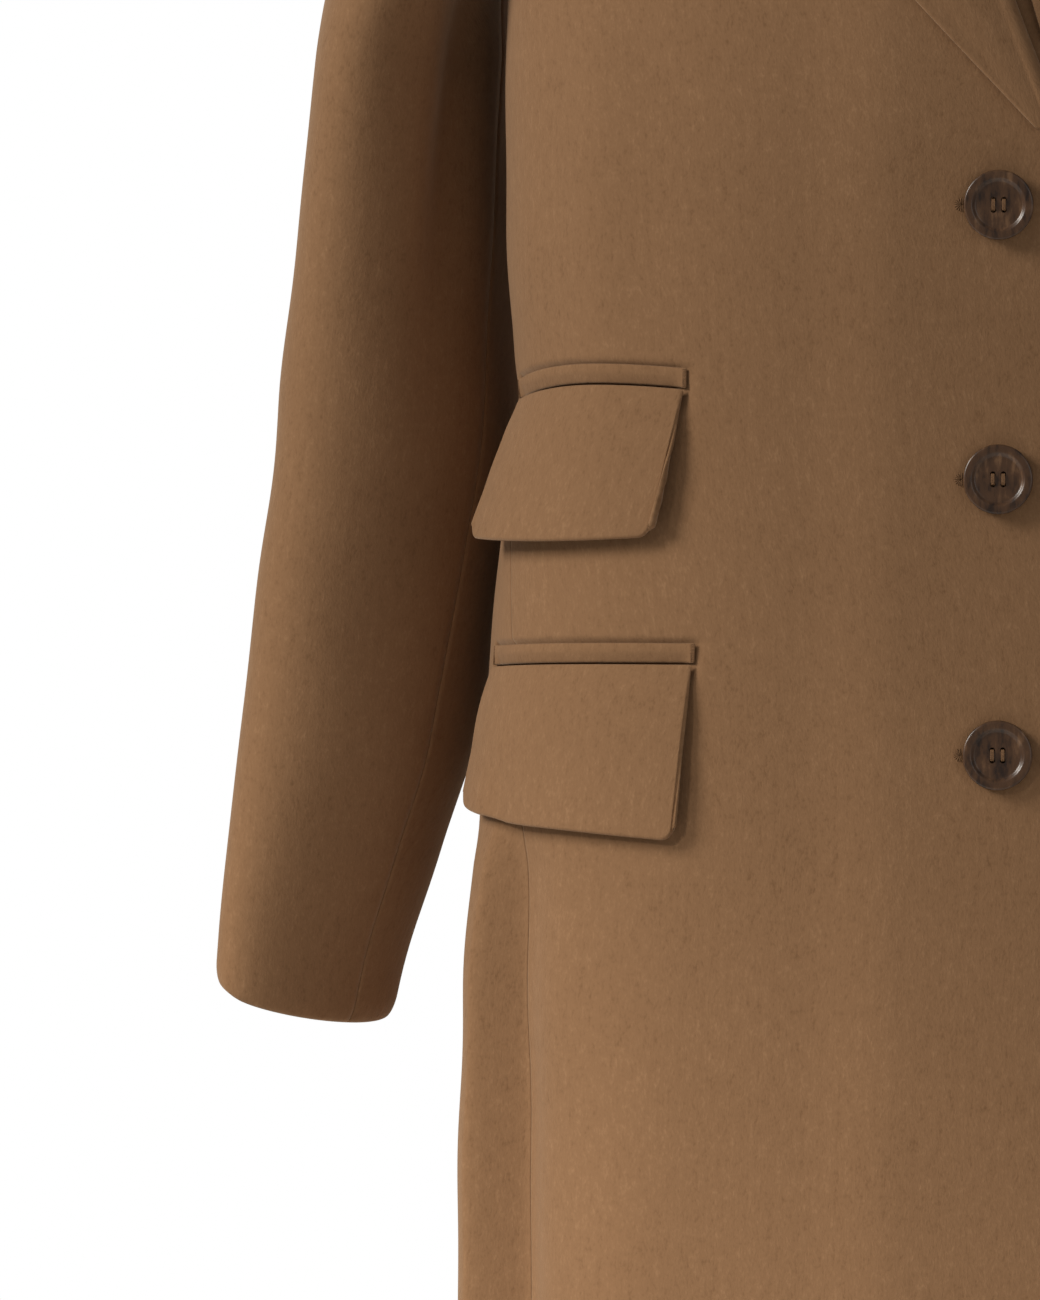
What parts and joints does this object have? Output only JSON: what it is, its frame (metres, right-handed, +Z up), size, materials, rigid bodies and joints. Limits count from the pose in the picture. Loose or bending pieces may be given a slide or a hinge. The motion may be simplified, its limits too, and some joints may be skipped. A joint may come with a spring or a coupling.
{
  "type": "single-breasted coat",
  "caption": "Knee-length single-breasted wool coat in its worn, hollow form, with notched lapels, flapped hip and ticket pockets, shaped sleeves and a buttoned front.",
  "frame": {"origin": "midway between the two neck points of the shoulders, where the wearer carries the coat", "axes": "+Z up, -Y toward the front, -X toward the wearer's right side"},
  "size_m": [0.6426, 0.3078, 1.0483],
  "materials": {
    "wool": "fulled wool coating with a short brushed nap",
    "button": "satin horn-like"
  },
  "bodies": {
    "root": {"front_right": "wool", "front_left": "wool", "side_right": "wool", "side_left": "wool", "back": "wool", "sleeve_top_right": "wool", "sleeve_under_right": "wool", "sleeve_top_left": "wool", "sleeve_under_left": "wool", "collar": "wool", "lapel_right": "wool", "lapel_left": "wool", "flap_hip_right": "wool", "flap_ticket_right": "wool", "flap_hip_left": "wool", "welt_hip_right": "wool", "welt_ticket_right": "wool", "welt_hip_left": "wool", "button_1": "button", "button_2": "button", "button_3": "button"}
  },
  "joints": []
}
